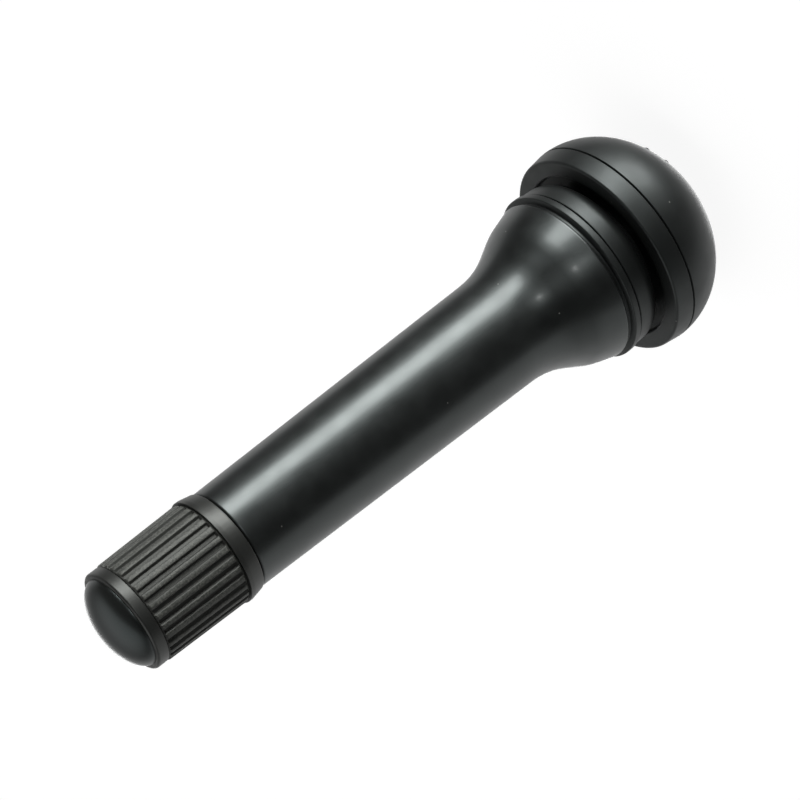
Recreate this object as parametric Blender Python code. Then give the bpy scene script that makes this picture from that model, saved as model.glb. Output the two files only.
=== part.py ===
"""Snap-in tyre valve with its screw-on dust cap and its valve core, standing on its rubber head.

Units are metres and +Z runs along the stem towards the cap. The origin is the centre of the head's flat base.
Every level below is counted from that base. Radii are built outwards from the core pin, wall by wall.
Threads are plain cylinders here, at their outer radius.
"""

import math

import bmesh
import bpy

MM = 0.001

# Clearances
FIT = 0.10 * MM          # radial gap of a piece that turns, slides or is bonded in another
CORE_SEAT = 0.10 * MM    # gap between core pieces that rest on each other
SEAT = 0.30 * MM         # gap between larger pieces that rest on each other

# Core pin, with its button, its spring collar and its riveted end
PIN_R = 0.40 * MM
PIN_BELOW_MOUTH = 0.30 * MM
BUTTON_PROUD = 0.25 * MM
BUTTON_HEIGHT = 0.70 * MM
COLLAR_GAP = 0.20 * MM
COLLAR_HEIGHT = 0.40 * MM
COLLAR_BELOW_PLUG = 1.00 * MM
RIVET_PROUD = 0.30 * MM
RIVET_HEIGHT = 0.40 * MM

# Core plug: the threaded swivel that a core key turns
AIR_GAP = 0.55 * MM
PLUG_NECK_WALL = 0.30 * MM
PLUG_NECK = 0.90 * MM
PLUG_COLLAR_PROUD = 0.35 * MM
PLUG_COLLAR = 0.40 * MM
PLUG_THREAD_LENGTH = 3.10 * MM
PLUG_CHAMFER = 0.25 * MM
EAR_DEPTH = 1.80 * MM
EAR_HEIGHT = 1.80 * MM
EAR_INSET = 0.60 * MM
EAR_WIDTH = 2.20 * MM

# Core spring
WIRE_R = 0.13 * MM
SPRING_ROOM = 0.42 * MM
SPRING_SIDE_GAP = 0.22 * MM
SPRING_TURNS = 6.0
SPRING_STEPS = 14

# Core barrel, which hangs under the plug and seals in the insert's cone
BARREL_HEAD_WALL = 0.45 * MM
BARREL_HEAD_FLOOR = 0.30 * MM
BARREL_WALL = 0.35 * MM
BARREL_TAIL = 3.80 * MM
BARREL_LIP = 0.50 * MM
BARREL_LIP_AIR = 0.40 * MM
GASKET_SEAT_PROUD = 0.10 * MM
GASKET_HEIGHT = 1.40 * MM
GASKET_WALL = 0.15 * MM
GASKET_TAPER = 0.20 * MM
SHOULDER_PROUD = 0.35 * MM
SHOULDER_HEIGHT = 0.40 * MM

# Cup and washer that close the barrel
WASHER_INSET = 0.15 * MM
WASHER_HEIGHT = 0.60 * MM
CUP_WALL = 0.20 * MM
CUP_FLOOR = 0.40 * MM
CUP_RIM = 0.50 * MM
CUP_AIR_GAP = 0.30 * MM

# Brass insert
CORE_THREAD_PROUD = 0.40 * MM
AIR_R = 1.30 * MM
CHAMBER_BELOW_PIN = 3.20 * MM
INSERT_WALL = 0.60 * MM
THREAD_PROUD = 0.575 * MM
THREAD_START = 0.25 * MM
MOUTH = 59.50 * MM
MOUTH_CHAMFER = 0.45 * MM
MOUTH_BEVEL = 0.30 * MM
EXPOSED_THREAD = 9.30 * MM
FOOT_PROUD = 0.90 * MM
FOOT_HEIGHT = 1.10 * MM
BOND_RING_PROUD = 0.45 * MM
BOND_RING_HEIGHT = 0.90 * MM
BOND_RING_PITCH = 2.40 * MM
BOND_RINGS = 2
BOND_ABOVE_BULGE = 1.15 * MM

# Rubber stem cover
COVER_WALL_TOP = 1.11 * MM
COVER_WALL_LOW = 1.58 * MM
COVER_END_ROUND = 0.25 * MM

# Rim groove, whose upper side is one large round, and the ridge over it
NECK_WALL = 2.70 * MM
GROOVE_WIDTH = 2.70 * MM
SHOULDER_PROUD_OF_NECK = 1.74 * MM
SHOULDER_ROUND = 3.20 * MM
SHOULDER_BELOW_RIDGE = 0.10 * MM
RIDGE_PROUD = 0.11 * MM
RIDGE_WIDTH = 0.70 * MM

# Bulge that holds the valve in the rim hole: a barrel, then a cone that runs out into the stem cover
BULGE_BELOW_RIDGE = 0.30 * MM
SLIT_DEPTH = 0.25 * MM
SLIT_WIDTH = 0.55 * MM
SLIT_SLOPE = 0.14 * MM
BULGE_BARREL = 2.30 * MM
BULGE_BARREL_TAPER = 0.69 * MM
BULGE_BARREL_ROUND = 6.00 * MM
BULGE_CONE = 3.65 * MM
BULGE_BLEND_ROUND = 8.00 * MM

# Flange that seals on the rim, with the recess inside its sealing ring
FLANGE_HEIGHT = 1.80 * MM
FLANGE_EDGE_ROUND = 0.28 * MM
SEAL_RING_WIDTH = 1.47 * MM
RECESS_WIDTH = 1.80 * MM
RECESS_DEPTH = 0.45 * MM
RECESS_SLOPE = 0.15 * MM

# Rubber head: a half ellipsoid under its seam, cut flat at the base
HEAD_PROUD = 0.23 * MM
HEAD_HEIGHT = 6.90 * MM
HEAD_CUT_OFF = 0.90 * MM
BASE_HOLE_MARGIN = 0.90 * MM
BASE_LIP = 0.50 * MM

# Dust cap and the seal in its ceiling
CAP_WALL = 0.325 * MM
CAP_RIM_WALL = 0.645 * MM
CAP_COLLAR_WALL = 0.875 * MM
CAP_COLLAR_TAPER = 0.90 * MM
CAP_COLLAR = 1.45 * MM
RIBS = 30
RIB_DEPTH = 0.28 * MM
RIB_FLARE = 0.14 * MM
RIB_END_SLOPE = 0.12 * MM
RIB_CREST_SHARE = 0.46
RIB_FLANK_SHARE = 0.10
BAND_INSET = 0.06 * MM
BAND_HEIGHT = 1.05 * MM
BAND_ROUND_HEIGHT = 0.58 * MM
BAND_ROUND_INSET = 0.12 * MM
CREASE_INSET = 0.53 * MM
CREASE_ABOVE_CEILING = 0.50 * MM
DOME_HEIGHT = 1.80 * MM
DOME_SIDE = 0.40 * MM
CAP_SEAL_INSET = 0.475 * MM
CAP_SEAL_HOLE = 1.20 * MM
CAP_SEAL_HEIGHT = 0.60 * MM
CAP_POCKET_MARGIN = 0.30 * MM
CAP_POCKET_DEPTH = 1.40 * MM

# Roundness of the solids
RUBBER_STEPS = 48
BRASS_STEPS = 32
CORE_STEPS = 24
HEAD_STEPS = 9
SHOULDER_STEPS = 5
DOME_STEPS = 5
ARC_STEP = math.radians(24)
MOST_OF_A_SIDE = 0.49
SHARP = math.radians(35)
MERGE = 0.0005 * MM

# Radii that follow, from the pin outwards
BUTTON_R = PIN_R + BUTTON_PROUD
RIVET_R = PIN_R + RIVET_PROUD
PLUG_BORE_R = PIN_R + AIR_GAP
PLUG_NECK_R = PLUG_BORE_R + PLUG_NECK_WALL
PLUG_COLLAR_R = PLUG_NECK_R + PLUG_COLLAR_PROUD
POCKET_R = PLUG_COLLAR_R + FIT
BARREL_HEAD_R = POCKET_R + BARREL_HEAD_WALL
SPRING_R = PIN_R + SPRING_ROOM + WIRE_R
BARREL_BORE_R = SPRING_R + WIRE_R + SPRING_SIDE_GAP
COLLAR_R = BARREL_BORE_R - COLLAR_GAP
BARREL_LIP_BORE_R = PIN_R + BARREL_LIP_AIR
BARREL_R = BARREL_BORE_R + BARREL_WALL
GASKET_SEAT_R = BARREL_R + GASKET_SEAT_PROUD
BARREL_SHOULDER_R = BARREL_R + SHOULDER_PROUD
GASKET_IN_R = GASKET_SEAT_R + FIT
GASKET_LOW_R = GASKET_IN_R + GASKET_WALL
GASKET_TOP_R = GASKET_LOW_R + GASKET_TAPER
CORE_THREAD_R = GASKET_TOP_R + CORE_THREAD_PROUD
EAR_R = CORE_THREAD_R - EAR_INSET
CORE_BORE_R = CORE_THREAD_R + FIT
WASHER_OUT_R = BARREL_R - WASHER_INSET
CUP_IN_R = WASHER_OUT_R + FIT
CUP_R = CUP_IN_R + CUP_WALL
CHAMBER_R = max(CUP_R + CUP_AIR_GAP, BARREL_SHOULDER_R + FIT)
CONE_TOP_R = GASKET_TOP_R + FIT
INSERT_R = CORE_BORE_R + INSERT_WALL
BOND_RING_R = INSERT_R + BOND_RING_PROUD
FOOT_R = INSERT_R + FOOT_PROUD
THREAD_R = INSERT_R + THREAD_PROUD
COVER_BORE_R = INSERT_R + FIT
COVER_TOP_R = COVER_BORE_R + COVER_WALL_TOP
COVER_LOW_R = COVER_BORE_R + COVER_WALL_LOW
NECK_R = COVER_BORE_R + NECK_WALL
SHOULDER_R = NECK_R + SHOULDER_PROUD_OF_NECK
RIDGE_R = SHOULDER_R + RIDGE_PROUD
BULGE_R = RIDGE_R - BULGE_BELOW_RIDGE
BULGE_BARREL_R = BULGE_R - BULGE_BARREL_TAPER
SLIT_R = BULGE_R - SLIT_DEPTH
SEAL_RING_IN_R = NECK_R + RECESS_WIDTH
FLANGE_TOP_R = SEAL_RING_IN_R + SEAL_RING_WIDTH
HEAD_R = FLANGE_TOP_R + HEAD_PROUD
BASE_HOLE_R = AIR_R + BASE_HOLE_MARGIN
CAP_BORE_R = THREAD_R + FIT
CAP_RIM_R = CAP_BORE_R + CAP_RIM_WALL
CAP_COLLAR_R = CAP_BORE_R + CAP_COLLAR_WALL
RIB_TOP_R = CAP_BORE_R + CAP_WALL + RIB_DEPTH
RIB_LOW_R = RIB_TOP_R + RIB_FLARE
BAND_R = RIB_TOP_R - BAND_INSET
CREASE_R = RIB_TOP_R - CREASE_INSET
CAP_SEAL_OUT_R = THREAD_R - CAP_SEAL_INSET
CAP_SEAL_IN_R = PIN_R + CAP_SEAL_HOLE
CAP_SEAT_R = CAP_SEAL_OUT_R + FIT
CAP_POCKET_R = CAP_SEAL_IN_R + CAP_POCKET_MARGIN

# Levels that follow: the rubber from the base upwards
HEAD_ELLIPSE_DEPTH = HEAD_HEIGHT + HEAD_CUT_OFF
FOOT_LOW = BASE_LIP + FIT
FOOT_TOP = FOOT_LOW + FOOT_HEIGHT
FLANGE_TOP = HEAD_HEIGHT + FLANGE_HEIGHT
RECESS_FLOOR = FLANGE_TOP - RECESS_DEPTH
GROOVE_TOP = FLANGE_TOP + GROOVE_WIDTH
SHOULDER_TOP_LEVEL = GROOVE_TOP - SHOULDER_BELOW_RIDGE
RIDGE_TOP = GROOVE_TOP + RIDGE_WIDTH
BULGE_LOW = RIDGE_TOP + SLIT_WIDTH
BULGE_BARREL_TOP = BULGE_LOW + BULGE_BARREL
BULGE_TOP = BULGE_BARREL_TOP + BULGE_CONE
BOND_FIRST = BULGE_TOP + BOND_ABOVE_BULGE
COVER_TOP = MOUTH - EXPOSED_THREAD

# Levels that follow: the core from the mouth downwards
PIN_TOP = MOUTH - PIN_BELOW_MOUTH
EAR_TOP = MOUTH - EAR_DEPTH
PLUG_THREAD_TOP = EAR_TOP - EAR_HEIGHT
PLUG_THREAD_LOW = PLUG_THREAD_TOP - PLUG_THREAD_LENGTH
PLUG_COLLAR_TOP = PLUG_THREAD_LOW - PLUG_NECK
PLUG_LOW = PLUG_COLLAR_TOP - PLUG_COLLAR
BARREL_TOP = PLUG_THREAD_LOW - CORE_SEAT
POCKET_TOP = PLUG_COLLAR_TOP + CORE_SEAT
POCKET_LOW = PLUG_LOW - CORE_SEAT
BARREL_HEAD_LOW = POCKET_LOW - BARREL_HEAD_FLOOR
GASKET_TOP = BARREL_HEAD_LOW - CORE_SEAT
GASKET_LOW = GASKET_TOP - GASKET_HEIGHT
SHOULDER_TOP = GASKET_LOW - CORE_SEAT
BARREL_TAIL_TOP = SHOULDER_TOP - SHOULDER_HEIGHT
BARREL_LOW = BARREL_TAIL_TOP - BARREL_TAIL
BARREL_LIP_TOP = BARREL_LOW + BARREL_LIP
WASHER_TOP = BARREL_LOW - CORE_SEAT
WASHER_LOW = WASHER_TOP - WASHER_HEIGHT
CUP_FLOOR_TOP = WASHER_LOW - CORE_SEAT
CUP_RIM_TOP = CUP_FLOOR_TOP + CUP_RIM
CUP_LOW = CUP_FLOOR_TOP - CUP_FLOOR
RIVET_TOP = CUP_LOW - CORE_SEAT
PIN_LOW = RIVET_TOP - RIVET_HEIGHT
COLLAR_TOP = PLUG_LOW - COLLAR_BELOW_PLUG
COLLAR_LOW = COLLAR_TOP - COLLAR_HEIGHT
CHAMBER_LOW = PIN_LOW - CHAMBER_BELOW_PIN

# Levels that follow: the cap from the stem's cover and mouth
CAP_RIM = COVER_TOP + SEAT
CAP_SEAL_LOW = MOUTH + SEAT
CAP_SEAL_TOP = CAP_SEAL_LOW + CAP_SEAL_HEIGHT
CAP_CEILING = CAP_SEAL_TOP + FIT
CAP_POCKET_TOP = CAP_CEILING + CAP_POCKET_DEPTH
CREASE = CAP_CEILING + CREASE_ABOVE_CEILING
DOME_TOP = CREASE + DOME_HEIGHT
RIB_LOW = CAP_RIM + CAP_COLLAR
RIB_TOP = CREASE - BAND_HEIGHT


def clear_scene():
    """Removes every object of the open file."""
    for old in list(bpy.data.objects):
        bpy.data.objects.remove(old)


def material(name, colour, roughness, metallic=0.0):
    """A Principled material."""
    made = bpy.data.materials.new(name)
    made.use_nodes = True
    shader = made.node_tree.nodes["Principled BSDF"]
    shader.inputs["Base Color"].default_value = (*colour, 1.0)
    shader.inputs["Roughness"].default_value = roughness
    shader.inputs["Metallic"].default_value = metallic
    return made


def corner_arc(before, corner, after, size):
    """Points of the arc that rounds a corner of an outline, no larger than its shorter side allows."""
    a = (before[0] - corner[0], before[1] - corner[1])
    b = (after[0] - corner[0], after[1] - corner[1])
    a_length = math.hypot(*a)
    b_length = math.hypot(*b)
    a = (a[0] / a_length, a[1] / a_length)
    b = (b[0] / b_length, b[1] / b_length)
    half = math.acos(max(-1.0, min(1.0, a[0] * b[0] + a[1] * b[1]))) / 2
    reach = min(size / math.tan(half), MOST_OF_A_SIDE * min(a_length, b_length))
    size = reach * math.tan(half)
    middle = (a[0] + b[0], a[1] + b[1])
    out = math.hypot(reach, size) / math.hypot(*middle)
    centre = (corner[0] + middle[0] * out, corner[1] + middle[1] * out)
    first = (corner[0] + a[0] * reach - centre[0], corner[1] + a[1] * reach - centre[1])
    last = (corner[0] + b[0] * reach - centre[0], corner[1] + b[1] * reach - centre[1])
    start = math.atan2(first[1], first[0])
    sweep = (math.atan2(last[1], last[0]) - start + math.pi) % (2 * math.pi) - math.pi
    steps = max(2, math.ceil(abs(sweep) / ARC_STEP))
    angles = [start + sweep * k / steps for k in range(steps + 1)]
    return [(centre[0] + size * math.cos(t), centre[1] + size * math.sin(t)) for t in angles]


def rounded(corners):
    """Points of an outline given as (radius, level) corners, or (radius, level, rounding) ones."""
    points = []
    for i, corner in enumerate(corners):
        if len(corner) == 2:
            points.append(corner)
        else:
            points += corner_arc(corners[i - 1], corner, corners[i + 1], corner[2])
    return points


def finished(name, bm, finish):
    """Turns a bmesh into a named object with outward faces, smooth rounds and sharp edges."""
    bmesh.ops.remove_doubles(bm, verts=bm.verts, dist=MERGE)
    bmesh.ops.recalc_face_normals(bm, faces=bm.faces)
    mesh = bpy.data.meshes.new(name)
    bm.to_mesh(mesh)
    bm.free()
    mesh.materials.append(finish)
    mesh.shade_smooth()
    mesh.set_sharp_from_angle(angle=SHARP)
    made = bpy.data.objects.new(name, mesh)
    bpy.context.scene.collection.objects.link(made)
    return made


def turned(name, outline, finish, steps, closed=True):
    """Spins an outline of (radius, level) points round the valve's axis. An open one ends on the axis."""
    bm = bmesh.new()
    verts = [bm.verts.new((r, 0.0, z)) for r, z in outline]
    edges = [bm.edges.new(pair) for pair in zip(verts, verts[1:])]
    if closed:
        edges.append(bm.edges.new((verts[-1], verts[0])))
    bmesh.ops.spin(
        bm,
        geom=verts + edges,
        cent=(0, 0, 0),
        axis=(0, 0, 1),
        angle=2 * math.pi,
        steps=steps,
        use_merge=True,
    )
    return finished(name, bm, finish)


def axis_empty(name, level):
    """An empty on the valve's axis, which carries the pieces that move together."""
    made = bpy.data.objects.new(name, None)
    made.location = (0.0, 0.0, level)
    bpy.context.scene.collection.objects.link(made)
    return made


def carry(parent, pieces):
    """Parents pieces to an empty and leaves them where they are."""
    bpy.context.view_layer.update()
    for piece in pieces:
        piece.parent = parent
        piece.matrix_parent_inverse = parent.matrix_world.inverted()


def box_cutter(name, size, centre):
    """A hidden box that cuts another piece."""
    bm = bmesh.new()
    bmesh.ops.create_cube(bm, size=1.0)
    for vert in bm.verts:
        vert.co = [c + s * v for c, s, v in zip(centre, size, vert.co)]
    mesh = bpy.data.meshes.new(name)
    bm.to_mesh(mesh)
    bm.free()
    made = bpy.data.objects.new(name, mesh)
    bpy.context.scene.collection.objects.link(made)
    made.hide_render = True
    made.display_type = "WIRE"
    return made


def cut(piece, cutter):
    """Takes a cutter's shape out of a piece."""
    boolean = piece.modifiers.new(cutter.name, "BOOLEAN")
    boolean.operation = "DIFFERENCE"
    boolean.solver = "EXACT"
    boolean.object = cutter


def insert_outside(gap=0.0):
    """Corners of the brass insert's outside up to its last bonding ring, with a gap round them."""
    plain = INSERT_R + gap
    corners = [
        (FOOT_R + gap, FOOT_LOW - gap),
        (FOOT_R + gap, FOOT_TOP + gap),
        (plain, FOOT_TOP + gap),
    ]
    for i in range(BOND_RINGS):
        low = BOND_FIRST + i * BOND_RING_PITCH - gap
        high = low + BOND_RING_HEIGHT + 2 * gap
        ring = BOND_RING_R + gap
        corners += [(plain, low), (ring, low), (ring, high), (plain, high)]
    return corners


def head_arc():
    """The head's side, a stretch of an ellipse from the flat base out to the seam."""
    start = math.asin(HEAD_HEIGHT / HEAD_ELLIPSE_DEPTH)
    angles = [start * (1 - k / HEAD_STEPS) for k in range(HEAD_STEPS + 1)]
    return [(HEAD_R * math.cos(t), HEAD_HEIGHT - HEAD_ELLIPSE_DEPTH * math.sin(t)) for t in angles]


def shoulder_arc():
    """The groove's upper side, a stretch of a circle from the neck up to the ridge."""
    centre_r = SHOULDER_R - SHOULDER_ROUND
    start = math.acos((NECK_R - centre_r) / SHOULDER_ROUND)
    angles = [start * (1 - k / SHOULDER_STEPS) for k in range(SHOULDER_STEPS + 1)]
    level = SHOULDER_TOP_LEVEL
    return [(centre_r + SHOULDER_ROUND * math.cos(t), level - SHOULDER_ROUND * math.sin(t)) for t in angles]


def make_rubber_body(finish):
    """Head, flange, rim groove, bulge and stem cover: one moulding round the brass insert."""
    outside = head_arc() + [
        (FLANGE_TOP_R, FLANGE_TOP, FLANGE_EDGE_ROUND),
        (SEAL_RING_IN_R, FLANGE_TOP),
        (SEAL_RING_IN_R - RECESS_SLOPE, RECESS_FLOOR),
        (NECK_R, RECESS_FLOOR),
    ]
    outside += shoulder_arc() + [
        (SHOULDER_R, GROOVE_TOP),
        (RIDGE_R, GROOVE_TOP),
        (RIDGE_R, RIDGE_TOP),
        (SLIT_R, RIDGE_TOP + SLIT_SLOPE),
        (SLIT_R, BULGE_LOW - SLIT_SLOPE),
        (BULGE_R, BULGE_LOW),
        (BULGE_BARREL_R, BULGE_BARREL_TOP, BULGE_BARREL_ROUND),
        (COVER_LOW_R, BULGE_TOP, BULGE_BLEND_ROUND),
        (COVER_TOP_R, COVER_TOP, COVER_END_ROUND),
        (COVER_BORE_R, COVER_TOP),
    ]
    inside = [(BASE_HOLE_R, 0.0), (BASE_HOLE_R, BASE_LIP)] + insert_outside(FIT)
    return turned("rubber_body", rounded(outside + inside[::-1]), finish, RUBBER_STEPS)


def make_brass_stem(finish):
    """Threaded brass insert with the core's chamber and the air passage through it."""
    thread_low = COVER_TOP + THREAD_START
    outside = insert_outside() + [
        (INSERT_R, thread_low),
        (THREAD_R, thread_low + THREAD_PROUD),
        (THREAD_R, MOUTH - MOUTH_CHAMFER),
        (THREAD_R - MOUTH_CHAMFER, MOUTH),
    ]
    cone_slope = GASKET_TAPER / GASKET_HEIGHT
    inside = [
        (AIR_R, FOOT_LOW),
        (AIR_R, CHAMBER_LOW),
        (CHAMBER_R, CHAMBER_LOW + CHAMBER_R - AIR_R),
        (CHAMBER_R, GASKET_TOP - (CONE_TOP_R - CHAMBER_R) / cone_slope),
        (CONE_TOP_R, GASKET_TOP),
        (CORE_BORE_R, GASKET_TOP + CORE_BORE_R - CONE_TOP_R),
        (CORE_BORE_R, MOUTH - MOUTH_BEVEL),
        (CORE_BORE_R + MOUTH_BEVEL, MOUTH),
    ]
    return turned("brass_stem", outside + inside[::-1], finish, BRASS_STEPS)


def make_core_plug(finish):
    """Threaded swivel with two ears for a core key, and a collar that the barrel hangs on."""
    outline = [
        (PLUG_BORE_R, PLUG_LOW),
        (PLUG_COLLAR_R, PLUG_LOW),
        (PLUG_COLLAR_R, PLUG_COLLAR_TOP),
        (PLUG_NECK_R, PLUG_COLLAR_TOP),
        (PLUG_NECK_R, PLUG_THREAD_LOW),
        (CORE_THREAD_R - PLUG_CHAMFER, PLUG_THREAD_LOW),
        (CORE_THREAD_R, PLUG_THREAD_LOW + PLUG_CHAMFER),
        (CORE_THREAD_R, PLUG_THREAD_TOP - PLUG_CHAMFER),
        (CORE_THREAD_R - PLUG_CHAMFER, PLUG_THREAD_TOP),
        (EAR_R, PLUG_THREAD_TOP),
        (EAR_R, EAR_TOP),
        (PLUG_BORE_R, EAR_TOP),
    ]
    plug = turned("core_plug", outline, finish, CORE_STEPS)
    over = 2 * CORE_THREAD_R
    tall = 2 * EAR_HEIGHT
    for name, side in (("ear_flat_left", -1), ("ear_flat_right", 1)):
        centre = (0.0, side * (EAR_WIDTH + over) / 2, EAR_TOP)
        cut(plug, box_cutter(name, (2 * over, over, tall), centre))
    cut(plug, box_cutter("ear_slot", (2 * PLUG_BORE_R, over, tall), (0.0, 0.0, EAR_TOP)))
    return plug


def make_core_barrel(finish):
    """Barrel that swivels under the plug: head, gasket seat, shoulder and tail."""
    outline = [
        (BARREL_LIP_BORE_R, BARREL_LOW),
        (BARREL_R, BARREL_LOW),
        (BARREL_R, BARREL_TAIL_TOP),
        (BARREL_SHOULDER_R, BARREL_TAIL_TOP),
        (BARREL_SHOULDER_R, SHOULDER_TOP),
        (GASKET_SEAT_R, SHOULDER_TOP),
        (GASKET_SEAT_R, BARREL_HEAD_LOW),
        (BARREL_HEAD_R, BARREL_HEAD_LOW),
        (BARREL_HEAD_R, BARREL_TOP),
        (PLUG_NECK_R + FIT, BARREL_TOP),
        (PLUG_NECK_R + FIT, POCKET_TOP),
        (POCKET_R, POCKET_TOP),
        (POCKET_R, POCKET_LOW),
        (BARREL_BORE_R, POCKET_LOW),
        (BARREL_BORE_R, BARREL_LIP_TOP),
        (BARREL_LIP_BORE_R, BARREL_LIP_TOP),
    ]
    return turned("core_barrel", outline, finish, CORE_STEPS)


def make_barrel_gasket(finish):
    """Tapered sealing ring on the barrel."""
    outline = [
        (GASKET_IN_R, GASKET_LOW),
        (GASKET_LOW_R, GASKET_LOW),
        (GASKET_TOP_R, GASKET_TOP),
        (GASKET_IN_R, GASKET_TOP),
    ]
    return turned("barrel_gasket", outline, finish, CORE_STEPS)


def make_core_pin(finish):
    """Pin with its button, its spring collar and the riveted end under the cup."""
    corners = [
        (0.0, PIN_LOW),
        (RIVET_R, PIN_LOW, RIVET_HEIGHT / 2),
        (RIVET_R, RIVET_TOP),
        (PIN_R, RIVET_TOP),
        (PIN_R, COLLAR_LOW),
        (COLLAR_R, COLLAR_LOW),
        (COLLAR_R, COLLAR_TOP),
        (PIN_R, COLLAR_TOP),
        (PIN_R, PIN_TOP - BUTTON_HEIGHT),
        (BUTTON_R, PIN_TOP - BUTTON_HEIGHT),
        (BUTTON_R, PIN_TOP, BUTTON_HEIGHT / 2),
        (0.0, PIN_TOP),
    ]
    return turned("core_pin", rounded(corners), finish, CORE_STEPS, closed=False)


def make_pin_cup(finish):
    """Cup that carries the closing washer on the pin's end."""
    outline = [
        (PIN_R + FIT, CUP_LOW),
        (CUP_R, CUP_LOW),
        (CUP_R, CUP_RIM_TOP),
        (CUP_IN_R, CUP_RIM_TOP),
        (CUP_IN_R, CUP_FLOOR_TOP),
        (PIN_R + FIT, CUP_FLOOR_TOP),
    ]
    return turned("pin_cup", outline, finish, CORE_STEPS)


def make_cup_washer(finish):
    """Rubber washer that closes the barrel's lower end."""
    outline = [
        (PIN_R + FIT, WASHER_LOW),
        (WASHER_OUT_R, WASHER_LOW),
        (WASHER_OUT_R, WASHER_TOP),
        (PIN_R + FIT, WASHER_TOP),
    ]
    return turned("cup_washer", outline, finish, CORE_STEPS)


def make_core_spring(finish):
    """Compression spring between the barrel's lip and the pin's collar."""
    low = BARREL_LIP_TOP + CORE_SEAT + WIRE_R
    high = COLLAR_LOW - CORE_SEAT - WIRE_R
    count = round(SPRING_TURNS * SPRING_STEPS)
    curve = bpy.data.curves.new("core_spring", "CURVE")
    curve.dimensions = "3D"
    curve.bevel_depth = WIRE_R
    curve.bevel_resolution = 1
    curve.use_fill_caps = True
    spline = curve.splines.new("POLY")
    spline.points.add(count)
    for k, point in enumerate(spline.points):
        turn = 2 * math.pi * SPRING_TURNS * k / count
        level = low + (high - low) * k / count
        point.co = (SPRING_R * math.cos(turn), SPRING_R * math.sin(turn), level, 1.0)
    curve.materials.append(finish)
    made = bpy.data.objects.new("core_spring", curve)
    bpy.context.scene.collection.objects.link(made)
    return made


def rib_directions():
    """Angles round the cap with whether each lies on a rib's crest: two crest and two valley points a rib."""
    pitch = 2 * math.pi / RIBS
    crest = RIB_CREST_SHARE * pitch / 2
    flank = RIB_FLANK_SHARE * pitch
    directions = []
    for i in range(RIBS):
        middle = i * pitch
        directions += [
            (middle - crest, True),
            (middle + crest, True),
            (middle + crest + flank, False),
            (middle + pitch - crest - flank, False),
        ]
    return directions


def dome_arc():
    """The cap's low dome, an ellipse from just over its widest level to just short of the axis."""
    depth = DOME_HEIGHT + DOME_SIDE
    edge = math.asin(DOME_SIDE / depth)
    reach = CREASE_R / math.cos(edge)
    angles = [edge + (math.pi / 2 - edge) * k / DOME_STEPS for k in range(DOME_STEPS)]
    return [(reach * math.cos(t), DOME_TOP - depth * (1 - math.sin(t))) for t in angles]


def cap_ring(bm, radius, level, groove=0.0):
    """A ring of points round the cap, with the points between its ribs a groove's depth lower."""
    ring = []
    for angle, crest in rib_directions():
        reach = radius if crest else radius - groove
        ring.append(bm.verts.new((reach * math.cos(angle), reach * math.sin(angle), level)))
    return ring


def skin(bm, low, high):
    """Faces between two rings, or between a ring and a single point."""
    for k, vert in enumerate(low):
        after = (k + 1) % len(low)
        if len(high) == 1:
            bm.faces.new((vert, low[after], high[0]))
        else:
            bm.faces.new((vert, low[after], high[after], high[k]))


def make_cap(finish):
    """Ribbed plastic dust cap: collar, ribs, end band and a low dome over a bore for the stem's thread."""
    bm = bmesh.new()
    seat_slope = CAP_BORE_R - CAP_SEAT_R
    rings = [
        [bm.verts.new((0.0, 0.0, CAP_POCKET_TOP))],
        cap_ring(bm, CAP_POCKET_R, CAP_POCKET_TOP),
        cap_ring(bm, CAP_POCKET_R, CAP_CEILING),
        cap_ring(bm, CAP_SEAT_R, CAP_CEILING),
        cap_ring(bm, CAP_SEAT_R, CAP_SEAL_LOW),
        cap_ring(bm, CAP_BORE_R, CAP_SEAL_LOW - seat_slope),
        cap_ring(bm, CAP_BORE_R, CAP_RIM),
        cap_ring(bm, CAP_RIM_R, CAP_RIM),
        cap_ring(bm, CAP_COLLAR_R, CAP_RIM + CAP_COLLAR_TAPER),
        cap_ring(bm, CAP_COLLAR_R, RIB_LOW),
        cap_ring(bm, RIB_LOW_R, RIB_LOW),
        cap_ring(bm, RIB_LOW_R, RIB_LOW + RIB_END_SLOPE, RIB_DEPTH),
        cap_ring(bm, RIB_TOP_R, RIB_TOP - RIB_END_SLOPE, RIB_DEPTH),
        cap_ring(bm, BAND_R, RIB_TOP),
        cap_ring(bm, BAND_R - BAND_ROUND_INSET, RIB_TOP + BAND_ROUND_HEIGHT),
    ]
    rings += [cap_ring(bm, r, z) for r, z in dome_arc()]
    rings.append([bm.verts.new((0.0, 0.0, DOME_TOP))])
    skin(bm, rings[1], rings[0])
    for low, high in zip(rings[1:], rings[2:]):
        skin(bm, low, high)
    return finished("cap", bm, finish)


def make_cap_seal(finish):
    """Sealing ring between the cap's ceiling and the stem's mouth."""
    outline = [
        (CAP_SEAL_IN_R, CAP_SEAL_LOW),
        (CAP_SEAL_OUT_R, CAP_SEAL_LOW),
        (CAP_SEAL_OUT_R, CAP_SEAL_TOP),
        (CAP_SEAL_IN_R, CAP_SEAL_TOP),
    ]
    return turned("cap_seal", outline, finish, CORE_STEPS)


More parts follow.
